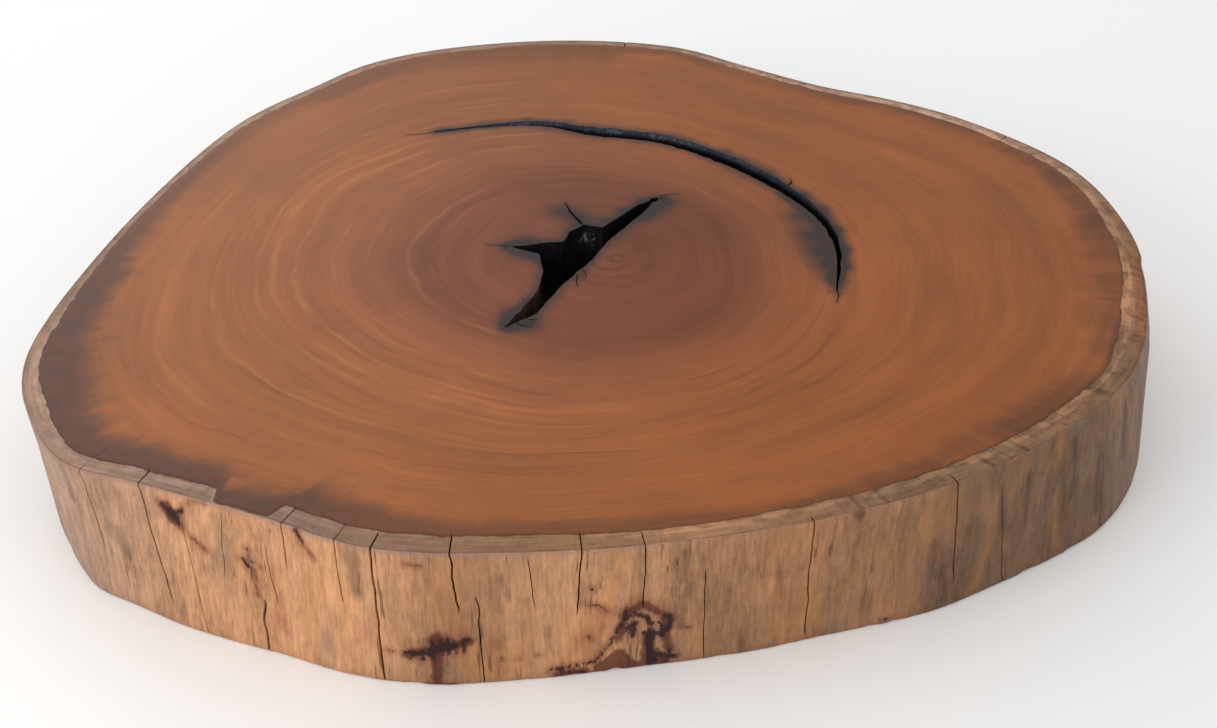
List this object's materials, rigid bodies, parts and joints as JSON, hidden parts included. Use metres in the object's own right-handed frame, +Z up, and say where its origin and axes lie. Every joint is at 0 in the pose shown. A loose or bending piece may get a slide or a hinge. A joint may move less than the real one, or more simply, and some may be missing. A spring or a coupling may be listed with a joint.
{
  "type": "wood slice",
  "caption": "Thick cross-cut slice of a tree trunk with a sanded top, natural edge, heart hollow and a curved ring shake.",
  "frame": {"origin": "middle of the footprint's bounding box, on the flat underside", "axes": "+Z up through the top face, +X to the right across the wider side, +Y to the back"},
  "size_m": [1.1166, 1.0164, 0.146],
  "materials": {
    "wood": "end grain sanded and oiled to a satin sheen on top, bare debarked wood on the wall"
  },
  "bodies": {
    "root": {"wood_slice": "wood"}
  },
  "joints": []
}
